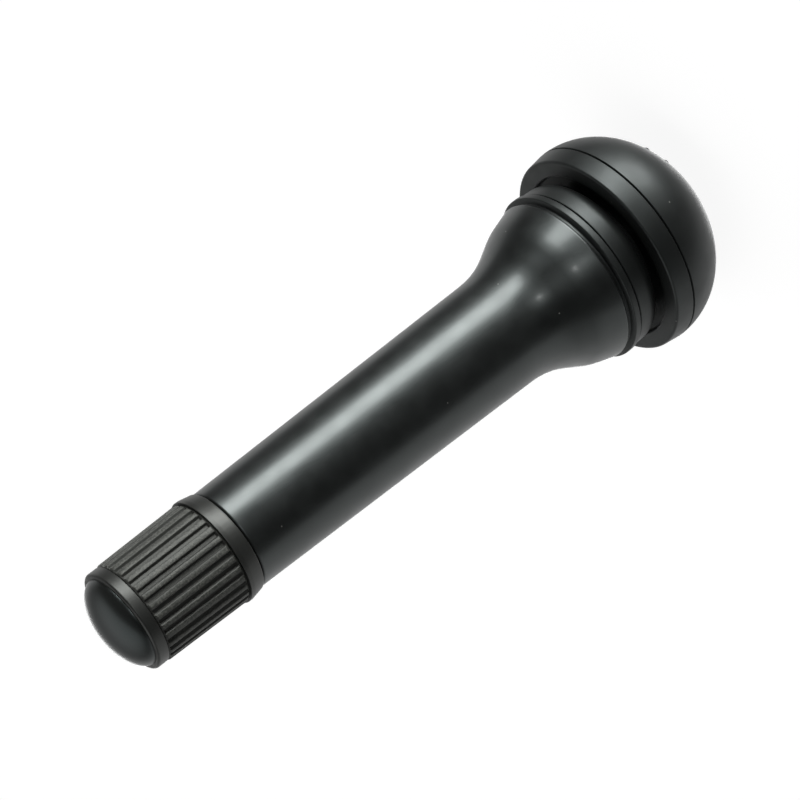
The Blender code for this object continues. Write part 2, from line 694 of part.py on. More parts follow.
def build_valve():
    """Builds every piece and groups what moves together."""
    clear_scene()
    rubber = material("black_rubber", (0.020, 0.021, 0.022), 0.32)
    plastic = material("black_plastic", (0.024, 0.025, 0.026), 0.48)
    brass = material("brass", (0.72, 0.53, 0.25), 0.30, 1.0)
    steel = material("spring_steel", (0.55, 0.55, 0.53), 0.30, 1.0)
    soft_seal = material("seal_rubber", (0.030, 0.030, 0.030), 0.60)
    gasket = material("gasket_plastic", (0.78, 0.76, 0.70), 0.50)

    make_rubber_body(rubber)
    make_brass_stem(brass)
    core_lift = axis_empty("core_lift_axis", PLUG_THREAD_TOP)
    core_turn = axis_empty("core_turn_axis", PLUG_THREAD_TOP)
    pin_press = axis_empty("pin_press_axis", PIN_TOP)
    cap_lift = axis_empty("cap_lift_axis", MOUTH)
    cap_turn = axis_empty("cap_turn_axis", MOUTH)
    carry(core_turn, [make_core_plug(brass)])
    carry(pin_press, [make_core_pin(steel), make_pin_cup(brass), make_cup_washer(soft_seal)])
    barrel_pieces = [make_core_barrel(brass), make_barrel_gasket(gasket), make_core_spring(steel)]
    carry(core_lift, barrel_pieces + [core_turn, pin_press])
    carry(cap_turn, [make_cap(plastic)])
    carry(cap_lift, [make_cap_seal(soft_seal), cap_turn])


build_valve()
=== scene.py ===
"""Looks of the snap-in tyre valve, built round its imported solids.

Satin black rubber, a ribbed dust cap, cut threads on the brass insert, in the cap and on the valve core,
and a studio with a softbox, a small lamp, a strip behind and a pale surround. Metres, +Z along the stem.
"""

import math

import bmesh
import bpy
from mathutils import Matrix, Vector


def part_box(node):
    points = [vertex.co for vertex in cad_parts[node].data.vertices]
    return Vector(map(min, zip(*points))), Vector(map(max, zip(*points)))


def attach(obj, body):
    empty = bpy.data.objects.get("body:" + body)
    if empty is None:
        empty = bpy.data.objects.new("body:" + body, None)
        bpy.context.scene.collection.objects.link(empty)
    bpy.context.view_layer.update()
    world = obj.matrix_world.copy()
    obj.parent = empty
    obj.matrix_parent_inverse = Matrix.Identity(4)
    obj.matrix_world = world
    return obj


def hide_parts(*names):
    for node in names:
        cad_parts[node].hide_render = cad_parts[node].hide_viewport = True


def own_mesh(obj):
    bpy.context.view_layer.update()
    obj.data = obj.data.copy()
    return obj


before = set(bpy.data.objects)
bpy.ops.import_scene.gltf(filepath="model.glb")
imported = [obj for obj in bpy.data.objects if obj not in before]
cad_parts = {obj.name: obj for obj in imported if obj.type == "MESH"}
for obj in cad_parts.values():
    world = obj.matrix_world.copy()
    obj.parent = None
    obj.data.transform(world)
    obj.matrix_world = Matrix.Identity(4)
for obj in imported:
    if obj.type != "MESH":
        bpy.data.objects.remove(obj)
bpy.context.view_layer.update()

MM = 0.001


def measured(node):
    """Outer radius, lowest level and highest level of a round node."""
    low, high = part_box(node)
    return high.x, low.z, high.z


# Sizes read from the solids
HEAD_R, BASE, COVER_TOP = measured("rubber_body")
FOOT_R, FOOT_LOW, MOUTH = measured("brass_stem")
CAP_COLLAR_R, CAP_RIM, DOME_TOP = measured("cap")
CORE_THREAD_R, PLUG_LOW, EAR_TOP = measured("core_plug")
BARREL_HEAD_R, BARREL_LOW, BARREL_TOP = measured("core_barrel")
GASKET_TOP_R, GASKET_LOW, GASKET_TOP = measured("barrel_gasket")
COLLAR_R, PIN_LOW, PIN_TOP = measured("core_pin")
CUP_R, CUP_LOW, CUP_RIM_TOP = measured("pin_cup")
WASHER_R, WASHER_LOW, WASHER_TOP = measured("cup_washer")
CAP_SEAL_R, CAP_SEAL_LOW, CAP_SEAL_TOP = measured("cap_seal")

# Clearances
FIT = 0.10 * MM
CORE_SEAT = 0.10 * MM

# Rubber head, flange and its recess
HEAD_HEIGHT = 6.90 * MM
HEAD_ELLIPSE_DEPTH = 7.80 * MM
BASE_R = 4.47 * MM
BASE_EDGE_RISE = 0.25 * MM
BASE_EDGE_ROUND = 0.40 * MM
BASE_HOLE_R = 2.20 * MM
BASE_LIP = 0.50 * MM
SEAM_WIDTH = 0.20 * MM
SEAM_DEPTH = 0.22 * MM
SEAM_ROUND = 0.08 * MM
FLANGE_TOP = 8.70 * MM
FLANGE_TOP_R = 9.37 * MM
FLANGE_EDGE_ROUND = 0.24 * MM
SEAL_RING_IN_R = 7.90 * MM
SEAL_LIP_ROUND = 0.14 * MM
RECESS_DEPTH = 0.45 * MM
RECESS_SLOPE = 0.15 * MM

# Rim groove, bulge and stem cover
NECK_R = 6.10 * MM
NECK_TOP = 8.50 * MM
SHOULDER_R = 7.80 * MM
SHOULDER_LOW = 9.35 * MM
SHOULDER_ROUND = 1.90 * MM
LINE_DEPTH = 0.22 * MM
LINE_WIDTH = 0.22 * MM
GROOVE_TOP = 11.40 * MM
RIDGE_R = 7.95 * MM
RIDGE_WIDTH = 0.70 * MM
RIDGE_ROUND = 0.12 * MM
SLIT_R = 7.40 * MM
SLIT_WIDTH = 0.55 * MM
SLIT_SLOPE = 0.14 * MM
BULGE_R = 7.65 * MM
BULGE_EDGE_ROUND = 0.30 * MM
BULGE_BARREL = 2.30 * MM
BULGE_BARREL_R = 6.96 * MM
BULGE_BARREL_ROUND = 6.00 * MM
BULGE_CONE = 3.65 * MM
BULGE_BLEND_ROUND = 8.00 * MM
COVER_LOW_R = 4.98 * MM
COVER_TOP_R = 4.51 * MM
COVER_END_ROUND = 0.22 * MM

# Moulded nubs on the underside of the head, in two facing pairs, each as (radius, angle)
NUB_PAIR = [(6.06 * MM, math.radians(-41)), (5.08 * MM, math.radians(-57))]
NUBS = NUB_PAIR + [(radius, angle + math.pi) for radius, angle in NUB_PAIR]
NUB_LENGTH = 0.55 * MM
NUB_WIDTH = 0.30 * MM
NUB_HEIGHT = 0.16 * MM

# Brass insert
AIR_R = 1.30 * MM
INSERT_R = 3.30 * MM
FOOT_HEIGHT = 1.10 * MM
BOND_RING_R = 3.75 * MM
BOND_RING_HEIGHT = 0.90 * MM
BOND_RING_PITCH = 2.40 * MM
BOND_RINGS = 2
BOND_FIRST = 19.75 * MM
THREAD_R = 3.875 * MM
THREAD_DEPTH = 0.47 * MM
THREAD_PITCH = 25.4 / 32 * MM
THREAD_START = 0.35 * MM
MOUTH_BEVEL = 0.25 * MM
CHAMBER_R = 2.10 * MM
CHAMBER_LOW = 40.40 * MM
CORE_THREAD_DEPTH = 0.40 * MM
CORE_THREAD_PITCH = 25.4 / 36 * MM
CORE_THREAD_LOW = 52.70 * MM
CORE_THREAD_HIGH = 58.60 * MM

# Core plug
PLUG_BORE_R = 0.95 * MM
PLUG_COLLAR_R = 1.60 * MM
PLUG_COLLAR = 0.40 * MM
PLUG_NECK_R = 1.25 * MM
PLUG_THREAD_LOW = 52.80 * MM
PLUG_THREAD_HIGH = 55.90 * MM
EAR_R = 2.00 * MM
EAR_WIDTH = 2.20 * MM

# Core barrel, with the gasket and the spring's room
BARREL_HEAD_LOW = 51.10 * MM
GASKET_SEAT_R = 1.75 * MM
SHOULDER_TOP = 49.50 * MM
BARREL_SHOULDER_R = 2.00 * MM
BARREL_TAIL_TOP = 49.10 * MM
BARREL_R = 1.65 * MM
BARREL_BORE_R = 1.30 * MM
BARREL_LIP_TOP = 45.80 * MM
BARREL_LIP_BORE_R = 0.80 * MM
BARREL_EDGE = 0.10 * MM
GASKET_IN_R = 1.85 * MM
GASKET_LOW_R = 2.00 * MM

# Pin, cup and washer
PIN_R = 0.40 * MM
BUTTON_R = 0.65 * MM
BUTTON_HEIGHT = 0.70 * MM
RIVET_R = 0.70 * MM
RIVET_HEIGHT = 0.40 * MM
COLLAR_LOW = 50.10 * MM
COLLAR_TOP = 50.50 * MM
CUP_IN_R = 1.60 * MM
CUP_FLOOR_TOP = 44.50 * MM

# Spring
WIRE_R = 0.13 * MM
SPRING_R = 0.95 * MM
SPRING_TURNS = 6.0
SPRING_STEPS = 40
CLOSED_COILS = 0.75

# Dust cap and its seal
CAP_SHOWN_GAP = 0.08 * MM
CAP_RIM_R = 4.62 * MM
CAP_RIM_ROUND = 0.15 * MM
CAP_COLLAR_TAPER = 0.90 * MM
RIB_LOW = 51.82 * MM
RIB_LOW_R = 4.72 * MM
RIB_TOP = 59.87 * MM
RIB_TOP_R = 4.58 * MM
RIB_DEPTH = 0.29 * MM
RIBS = 30
RIB_CREST_SHARE = 0.42
RIB_FLANK_SHARE = 0.15
CREST_ROWS = (0.0, 0.6, 0.9)
FLANK_ROWS = (0.0, 0.15, 0.35, 0.5, 0.65, 0.85, 1.0)
RIB_UNEVEN = 0.14
RIB_UNEVEN_STEP = 2.4
RIB_CROWN = 0.03 * MM
RIB_END_SLOPE = 0.20 * MM
END_NOTCH = 0.14 * MM
COLLAR_STEP = 0.10 * MM
BAND_R = 4.52 * MM
BAND_TOP = 60.99 * MM
BAND_ROUND = 0.24 * MM
CREASE = 61.00 * MM
CREASE_R = 4.08 * MM
DOME_SIDE = 0.40 * MM
CAP_CEILING = 60.50 * MM
CAP_POCKET_R = 1.90 * MM
CAP_POCKET_TOP = 61.90 * MM
CAP_THREAD_LEAD = 0.60 * MM
CAP_SEAL_IN_R = 1.60 * MM
SEAL_EDGE = 0.05 * MM
COLLAR_BULGE_ROUND = 0.60 * MM

# Fineness of the meshes
RUBBER_STEPS = 256
HEAD_ROWS = 96
METAL_STEPS = 120
SMALL_STEPS = 72
RIB_ROWS = 10
RIB_END_ROWS = 3
DOME_ROWS = 16
ARC_STEP = math.radians(6)
MOST_OF_A_SIDE = 0.49
MERGE = 0.0004 * MM
SHARP = math.radians(32)

# Where a thread's flanks start and end, as shares of its pitch on both sides of its crest
THREAD_CORNERS = (-0.40, -0.09, 0.09, 0.40)

# Rubber and the dust on it
RUBBER_COLOUR = (0.0036, 0.0038, 0.0037)
RUBBER_GLOSS_TINT = (0.90, 1.00, 0.98)
STEM_IOR = 1.6
STEM_ROUGHNESS = 0.37
STEM_COAT = 0.12
HEAD_IOR = 1.46
HEAD_ROUGHNESS = 0.46
HEAD_COAT = 0.02
COAT_ROUGHNESS = 0.18
HEAD_FINISH_BELOW = 12.37 * MM
RUBBER_SMOOTHER = 0.03
RUBBER_DULLER = 0.04
RUBBER_PATCH = 1.80 * MM
RUBBER_WAVE = 6.00 * MM
RUBBER_WAVE_DEPTH = 0.035 * MM
RUBBER_GRAIN = 0.12 * MM
RUBBER_GRAIN_DEPTH = 0.0012 * MM
DUST_COLOUR = (0.10, 0.10, 0.095)
DUST_SPACING = 1.6 * MM
DUST_SHARE = 0.045
DUST_RARITY = 0.72

# Plastic of the cap
PLASTIC_COLOUR = (0.0083, 0.0086, 0.0080)
PLASTIC_ROUGHNESS = 0.42
PLASTIC_TINT = (0.96, 1.00, 0.95)
DOME_ROUGHNESS = 0.34
DOME_TINT = (0.86, 1.00, 1.00)
# The ribs' lighter colour is partly scuffing and partly a painted sheen where their tops catch light
RIB_SCUFF_AND_SHEEN_COLOUR = (0.067, 0.069, 0.061)
RIB_ROUGHNESS = 0.56
GROOVE_SCUFF_AND_SHEEN = 0.22
SCUFF_AND_SHEEN_DEPTH = 0.10 * MM
SCUFF_AND_SHEEN_LOW = 0.35
SCUFF_AND_SHEEN_HIGH = 0.65
PLASTIC_WAVE = 2.50 * MM
PLASTIC_WAVE_DEPTH = 0.015 * MM
PLASTIC_GRAIN = 0.16 * MM
PLASTIC_GRAIN_DEPTH = 0.030 * MM

# Metals
BRASS_COLOUR = (0.76, 0.57, 0.27)
BRASS_SHADE = (0.60, 0.42, 0.18)
BRASS_SHADE_LOW = 0.35
BRASS_SHADE_HIGH = 0.60
BRASS_DULL = 0.32
BRASS_BRIGHT = 0.20
BRASS_PATCH = 1.50 * MM
TURNING_LINE = 0.05 * MM
STEEL_COLOUR = (0.62, 0.61, 0.59)
STEEL_BRIGHT = 0.22
STEEL_DULL = 0.36
STEEL_PATCH = 0.50 * MM
METAL_DETAIL = 4.0
METAL_GRAIN_DEPTH = 0.002 * MM

# Seals
SEAL_COLOUR = (0.030, 0.030, 0.030)
SEAL_SHADE = (0.018, 0.018, 0.018)
SEAL_ROUGHNESS = 0.60
GASKET_COLOUR = (0.78, 0.76, 0.70)
GASKET_SHADE = (0.70, 0.67, 0.60)
GASKET_ROUGHNESS = 0.45
SEAL_GRAIN = 0.15 * MM
SEAL_GRAIN_DEPTH = 0.004 * MM
SEAL_SHADE_LOW = 0.30
SEAL_SHADE_HIGH = 0.60

# What the finishes share: detail of the noise patterns, range of most of their values, refraction
FINE_DETAIL = 5.0
PLAIN_DETAIL = 3.0
SOFT_DETAIL = 2.0
NOISE_LOW = 0.30
NOISE_HIGH = 0.70
PLAIN_IOR = 1.50

# Studio. A light's place is its azimuth and elevation, and its span its width and height, all in degrees
SOFTBOX_PLACE = (50, -26)
SOFTBOX_SPAN = (27, 68)
SOFTBOX_RADIANCE = 10.0
SMALL_LAMP_PLACE = (5, 12)
SMALL_LAMP_SPAN = (5, 5)
SMALL_LAMP_RADIANCE = 40.0
BACK_STRIP_PLACE = (180, -25)
BACK_STRIP_SPAN = (20, 60)
BACK_STRIP_RADIANCE = 3.0
WATTS_PER_RADIANCE = 4.0
LIGHT_DISTANCE = 0.90
LIGHT_TARGET = Vector((0.0, 0.0, 0.030))
TABLE_UP_AZIMUTH = math.radians(28.0)
TABLE_UP_ELEVATION = math.radians(-5.4)
TABLE_LIGHT = 0.85
ROOM_LIGHT = 0.04
HORIZON_LOW = -0.10
HORIZON_HIGH = 0.00
SHADED_SHARE = 0.28
SHADED_FROM = 0.10
SHADED_TO = 0.40
ZENITH_SHARE = 1.40
ZENITH_FROM = 0.48
ZENITH_TO = 0.85
SURROUND_COLOUR = (1.0, 1.0, 1.0)
FLOOR_SIZE = 1.2
FLOOR_TONE = 0.25
FLOOR_GLOW = 0.90

# Camera, with the stem's direction and the head's seam as it sees them: x right, y up, -z forward
SENSOR = 36.0
LENS = 130.5
NEAREST_SHOWN = 0.02
FARTHEST_SHOWN = 10.0
STEM_IN_VIEW = (-0.730, -0.561, 0.391)
SEAM_IN_VIEW = (17.90 * MM, 13.125 * MM, -245.43 * MM)


def corner_arc(before, corner, after, size):
    """Points of the arc that rounds a corner of an outline, no larger than its shorter side allows."""
    a = Vector(before) - Vector(corner)
    b = Vector(after) - Vector(corner)
    half = a.angle(b) / 2
    reach = min(size / math.tan(half), MOST_OF_A_SIDE * min(a.length, b.length))
    size = reach * math.tan(half)
    a.normalize()
    b.normalize()
    centre = Vector(corner) + (a + b).normalized() * math.hypot(reach, size)
    first = Vector(corner) + a * reach - centre
    last = Vector(corner) + b * reach - centre
    start = math.atan2(first.y, first.x)
    sweep = (math.atan2(last.y, last.x) - start + math.pi) % (2 * math.pi) - math.pi
    steps = max(2, math.ceil(abs(sweep) / ARC_STEP))
    angles = [start + sweep * k / steps for k in range(steps + 1)]
    return [(centre.x + size * math.cos(t), centre.y + size * math.sin(t)) for t in angles]


def rounded(corners):
    """Points of an outline given as (radius, level) corners, or (radius, level, rounding) ones."""
    points = []
    for i, corner in enumerate(corners):
        if len(corner) == 2:
            points.append(corner)
        else:
            before = corners[i - 1][:2]
            after = corners[(i + 1) % len(corners)][:2]
            points += corner_arc(before, corner[:2], after, corner[2])
    return points


def even(low, high, count):
    """Values spread evenly from low to high."""
    return [low + (high - low) * k / count for k in range(count + 1)]


def smooth_step(value):
    """Rises smoothly from 0 to 1 as value does."""
    value = max(0.0, min(1.0, value))
    return value * value * (3 - 2 * value)


def turned(name, outline_at, turns, finish, body, node, slot):
    """A piece swept round the valve's axis. outline_at gives its closed outline at a share of a turn."""
    bm = bmesh.new()
    columns = []
    for turn in turns:
        across = math.cos(2 * math.pi * turn)
        along = math.sin(2 * math.pi * turn)
        columns.append([bm.verts.new((r * across, r * along, z)) for r, z in outline_at(turn)])
    for column, after in zip(columns, columns[1:]):
        for k in range(len(column)):
            bm.faces.new((column[k - 1], after[k - 1], after[k], column[k]))
    return finished(name, bm, finish, body, node, slot)


def finished(name, bm, finish, body, node, slot):
    """Makes a bmesh into a shown piece that rides on a body and stands for a solid."""
    bmesh.ops.remove_doubles(bm, verts=bm.verts, dist=MERGE)
    bmesh.ops.recalc_face_normals(bm, faces=bm.faces)
    mesh = bpy.data.meshes.new(name)
    bm.to_mesh(mesh)
    bm.free()
    made = shown(mesh, finish, body, node, slot)
    mesh.set_sharp_from_angle(angle=SHARP)
    return made


def shown(mesh, finish, body, node, slot):
    """Shows a mesh, with its finish, as a piece that rides on a body and stands for a solid."""
    mesh.materials.append(finish)
    mesh.shade_smooth()
    made = bpy.data.objects.new(mesh.name, mesh)
    bpy.context.scene.collection.objects.link(made)
    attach(made, body)
    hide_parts(node)
    return made


def second_finish(piece, finish, low, high):
    """Gives the faces of a piece between two levels a finish of their own."""
    piece.data.materials.append(finish)
    for face in piece.data.polygons:
        face.material_index = int(low < face.center.z < high)


def whole_turn(steps):
    """Shares of a turn from 0 to 1."""
    return even(0.0, 1.0, steps)


def thread(turn, low, high, root, depth, pitch, inside=False):
    """Outline of a right-hand thread at one share of a turn, from its low end to its high end.

    Its crest is at the level 0 when turn is 0, so two threads with one pitch mesh. Its rows follow the
    helix. Both ends are chamfered: an outside thread runs out at its root, an inside one at full depth.
    """
    first = math.floor(low / pitch) - 2
    last = math.ceil(high / pitch) + 2
    points = []
    for lap in range(first, last):
        for corner in THREAD_CORNERS:
            level = (lap + corner + turn) * pitch
            held = max(low, min(high, level))
            end = min(held - low, high - held)
            reach = depth * crest_share(held / pitch - turn)
            reach = max(reach, depth - end) if inside else min(reach, end)
            points.append((root + reach, held))
    return points


def crest_share(phase):
    """How far a thread's surface stands out at a phase, from 0 in its root to 1 on its crest."""
    away = abs(phase - round(phase))
    root_edge = THREAD_CORNERS[-1]
    crest_edge = THREAD_CORNERS[-2]
    return max(0.0, min(1.0, (root_edge - away) / (root_edge - crest_edge)))


def principled(name, colour, roughness, metallic=0.0, ior=PLAIN_IOR):
    """A Principled material with its node tree, its shader and the piece's own coordinates."""
    made = bpy.data.materials.new(name)
    made.use_nodes = True
    tree = made.node_tree
    shader = tree.nodes["Principled BSDF"]
    shader.inputs["Base Color"].default_value = (*colour, 1.0)
    shader.inputs["Roughness"].default_value = roughness
    shader.inputs["Metallic"].default_value = metallic
    shader.inputs["IOR"].default_value = ior
    place = tree.nodes.new("ShaderNodeTexCoord").outputs["Object"]
    return made, tree, shader, place


def noise(tree, place, size, detail=PLAIN_DETAIL):
    """A noise pattern whose features have a size in metres."""
    made = tree.nodes.new("ShaderNodeTexNoise")
    made.inputs["Scale"].default_value = 1.0 / size
    made.inputs["Detail"].default_value = detail
    tree.links.new(place, made.inputs["Vector"])
    return made.outputs["Fac"]


def spread(tree, value, start, end, low, high):
    """Maps a pattern's values between start and end to values between low and high."""
    made = tree.nodes.new("ShaderNodeMapRange")
    made.inputs["From Min"].default_value = start
    made.inputs["From Max"].default_value = end
    made.inputs["To Min"].default_value = low
    made.inputs["To Max"].default_value = high
    tree.links.new(value, made.inputs["Value"])
    return made.outputs["Result"]


def varied_roughness(tree, shader, pattern, low, high):
    """Roughness that goes from low to high with a noise pattern."""
    tree.links.new(spread(tree, pattern, NOISE_LOW, NOISE_HIGH, low, high), shader.inputs["Roughness"])


def combined(tree, operation, first, second):
    """Two values, each a socket or a number, put through one operation."""
    made = tree.nodes.new("ShaderNodeMath")
    made.operation = operation
    for socket, value in zip(made.inputs, (first, second)):
        if isinstance(value, float):
            socket.default_value = value
        else:
            tree.links.new(value, socket)
    return made.outputs[0]


def coloured(tree, shader, pattern, first, last, start=0.0, end=1.0):
    """Colours a surface from one colour to another as a pattern goes from start to end."""
    ramp = tree.nodes.new("ShaderNodeValToRGB")
    ramp.color_ramp.elements[0].position = start
    ramp.color_ramp.elements[0].color = (*first, 1.0)
    ramp.color_ramp.elements[1].position = end
    ramp.color_ramp.elements[1].color = (*last, 1.0)
    tree.links.new(pattern, ramp.inputs["Fac"])
    tree.links.new(ramp.outputs["Color"], shader.inputs["Base Color"])


def bumped(tree, height, distance, below=None):
    """A bump as deep as a distance in metres, laid on another bump where one is given."""
    made = tree.nodes.new("ShaderNodeBump")
    made.inputs["Distance"].default_value = distance
    tree.links.new(height, made.inputs["Height"])
    if below is not None:
        tree.links.new(below, made.inputs["Normal"])
    return made.outputs["Normal"]


def dust(tree, place):
    """1 on a few tiny specks and 0 elsewhere."""
    cells = tree.nodes.new("ShaderNodeTexVoronoi")
    cells.inputs["Scale"].default_value = 1.0 / DUST_SPACING
    tree.links.new(place, cells.inputs["Vector"])
    tone = tree.nodes.new("ShaderNodeSeparateColor")
    tree.links.new(cells.outputs["Color"], tone.inputs["Color"])
    near = combined(tree, "LESS_THAN", cells.outputs["Distance"], DUST_SHARE)
    some = combined(tree, "GREATER_THAN", tone.outputs["Red"], DUST_RARITY)
    return combined(tree, "MULTIPLY", near, some)


def black_rubber(name, roughness, ior, coat):
    """Moulded rubber: near black and satin, faintly uneven, with a little dust on it."""
    made, tree, shader, place = principled(name, RUBBER_COLOUR, roughness, ior=ior)
    shader.inputs["Specular Tint"].default_value = (*RUBBER_GLOSS_TINT, 1.0)
    shader.inputs["Coat Weight"].default_value = coat
    shader.inputs["Coat Roughness"].default_value = COAT_ROUGHNESS
    patches = noise(tree, place, RUBBER_PATCH, FINE_DETAIL)
    varied_roughness(tree, shader, patches, roughness - RUBBER_SMOOTHER, roughness + RUBBER_DULLER)
    wave = bumped(tree, noise(tree, place, RUBBER_WAVE, SOFT_DETAIL), RUBBER_WAVE_DEPTH)
    grain = bumped(tree, noise(tree, place, RUBBER_GRAIN, SOFT_DETAIL), RUBBER_GRAIN_DEPTH, wave)
    tree.links.new(grain, shader.inputs["Normal"])
    coloured(tree, shader, dust(tree, place), RUBBER_COLOUR, DUST_COLOUR)
    return made


def rib_masks(tree, place):
    """1 between the two ends of the cap's ribs, and 1 on the ribs' tops, where scuffs and a painted sheen
    lighten them. Both are 0 elsewhere.
    """
    apart = tree.nodes.new("ShaderNodeSeparateXYZ")
    tree.links.new(place, apart.inputs["Vector"])
    x, y, level = apart.outputs
    above = combined(tree, "GREATER_THAN", level, RIB_LOW)
    below = combined(tree, "LESS_THAN", level, RIB_TOP)
    ribbed = combined(tree, "MULTIPLY", above, below)
    square = combined(tree, "ADD", combined(tree, "MULTIPLY", x, x), combined(tree, "MULTIPLY", y, y))
    radius = combined(tree, "POWER", square, 0.5)
    taper = (RIB_LOW_R - RIB_TOP_R) / (RIB_TOP - RIB_LOW)
    even_radius = combined(tree, "ADD", radius, combined(tree, "MULTIPLY", level, taper))
    top = RIB_LOW_R + RIB_LOW * taper
    near_top = spread(tree, even_radius, top - SCUFF_AND_SHEEN_DEPTH, top, 0.0, 1.0)
    return ribbed, combined(tree, "MULTIPLY", near_top, ribbed)


def black_plastic(name, roughness, tint):
    """Moulded plastic of the cap: satin where smooth, duller where ribbed, lighter on the ribs' tops and a
    little in their grooves, partly from scuffs and partly as a painted sheen where the ribs catch light.
    """
    made, tree, shader, place = principled(name, PLASTIC_COLOUR, roughness)
    shader.inputs["Specular Tint"].default_value = (*tint, 1.0)
    ribbed, worn_and_lit_tops = rib_masks(tree, place)
    grain = noise(tree, place, PLASTIC_GRAIN)
    # Scuffs and a painted sheen lighten the ribs' tops, and the grooves a little
    scuff_and_sheen = combined(tree, "MULTIPLY", spread(tree, grain, SCUFF_AND_SHEEN_LOW, SCUFF_AND_SHEEN_HIGH, 0.0, 1.0), worn_and_lit_tops)
    scuff_and_sheen = combined(tree, "MAXIMUM", scuff_and_sheen, combined(tree, "MULTIPLY", ribbed, GROOVE_SCUFF_AND_SHEEN))
    coloured(tree, shader, scuff_and_sheen, PLASTIC_COLOUR, RIB_SCUFF_AND_SHEEN_COLOUR)
    tree.links.new(spread(tree, ribbed, 0.0, 1.0, roughness, RIB_ROUGHNESS), shader.inputs["Roughness"])
    wave = bumped(tree, noise(tree, place, PLASTIC_WAVE, SOFT_DETAIL), PLASTIC_WAVE_DEPTH)
    rough = bumped(tree, combined(tree, "MULTIPLY", grain, ribbed), PLASTIC_GRAIN_DEPTH, wave)
    tree.links.new(rough, shader.inputs["Normal"])
    return made


def turned_brass():
    """Brass with faint turning lines round it and slightly darker patches."""
    made, tree, shader, place = principled("turned_brass", BRASS_COLOUR, BRASS_DULL, metallic=1.0)
    level = tree.nodes.new("ShaderNodeSeparateXYZ")
    tree.links.new(place, level.inputs["Vector"])
    lines = tree.nodes.new("ShaderNodeTexNoise")
    lines.noise_dimensions = "1D"
    lines.inputs["Scale"].default_value = 1.0 / TURNING_LINE
    tree.links.new(level.outputs["Z"], lines.inputs["W"])
    tree.links.new(bumped(tree, lines.outputs["Fac"], METAL_GRAIN_DEPTH), shader.inputs["Normal"])
    patches = noise(tree, place, BRASS_PATCH, METAL_DETAIL)
    coloured(tree, shader, patches, BRASS_SHADE, BRASS_COLOUR, BRASS_SHADE_LOW, BRASS_SHADE_HIGH)
    varied_roughness(tree, shader, patches, BRASS_DULL, BRASS_BRIGHT)
    return made


def bright_steel():
    """Drawn steel of the pin and the spring."""
    made, tree, shader, place = principled("bright_steel", STEEL_COLOUR, STEEL_BRIGHT, metallic=1.0)
    patches = noise(tree, place, STEEL_PATCH, METAL_DETAIL)
    varied_roughness(tree, shader, patches, STEEL_BRIGHT, STEEL_DULL)
    tree.links.new(bumped(tree, patches, METAL_GRAIN_DEPTH), shader.inputs["Normal"])
    return made


def matt_seal(name, colour, shade, roughness):
    """A soft seal with a fine grain."""
    made, tree, shader, place = principled(name, colour, roughness)
    grain = noise(tree, place, SEAL_GRAIN)
    coloured(tree, shader, grain, shade, colour, SEAL_SHADE_LOW, SEAL_SHADE_HIGH)
    tree.links.new(bumped(tree, grain, SEAL_GRAIN_DEPTH), shader.inputs["Normal"])
    return made


def head_outline(turn):
    """The head's side from its flat base to its seam, with the nubs standing out of it."""
    start = math.asin((HEAD_HEIGHT - BASE_EDGE_RISE) / HEAD_ELLIPSE_DEPTH)
    stop = math.asin(SEAM_WIDTH / 2 / HEAD_ELLIPSE_DEPTH)
    points = []
    for t in even(start, stop, HEAD_ROWS):
        r = HEAD_R * math.cos(t)
        z = HEAD_HEIGHT - HEAD_ELLIPSE_DEPTH * math.sin(t)
        out = Vector((math.cos(t) / HEAD_R, -math.sin(t) / HEAD_ELLIPSE_DEPTH)).normalized()
        proud = nub_height(2 * math.pi * turn, r)
        points.append((r + proud * out.x, z + proud * out.y))
    return points


def nub_height(angle, radius):
    """How far the nubs lift the head's surface at an angle and a radius."""
    most = 0.0
    for nub_radius, nub_angle in NUBS:
        turn_off = (angle - nub_angle + math.pi) % (2 * math.pi) - math.pi
        along = turn_off * radius / NUB_LENGTH
        across = (radius - nub_radius) / NUB_WIDTH
        most = max(most, 1 - smooth_step(math.hypot(along, across)))
    return NUB_HEIGHT * most


def insert_outside(gap=0.0):
    """The insert's outside from its foot to its last bonding ring, with a gap round it."""
    plain = INSERT_R + gap
    corners = [
        (FOOT_R + gap, FOOT_LOW - gap),
        (FOOT_R + gap, FOOT_LOW + FOOT_HEIGHT + gap),
        (plain, FOOT_LOW + FOOT_HEIGHT + gap),
    ]
    for i in range(BOND_RINGS):
        low = BOND_FIRST + i * BOND_RING_PITCH - gap
        high = low + BOND_RING_HEIGHT + 2 * gap
        corners += [(plain, low), (BOND_RING_R + gap, low), (BOND_RING_R + gap, high), (plain, high)]
    return corners


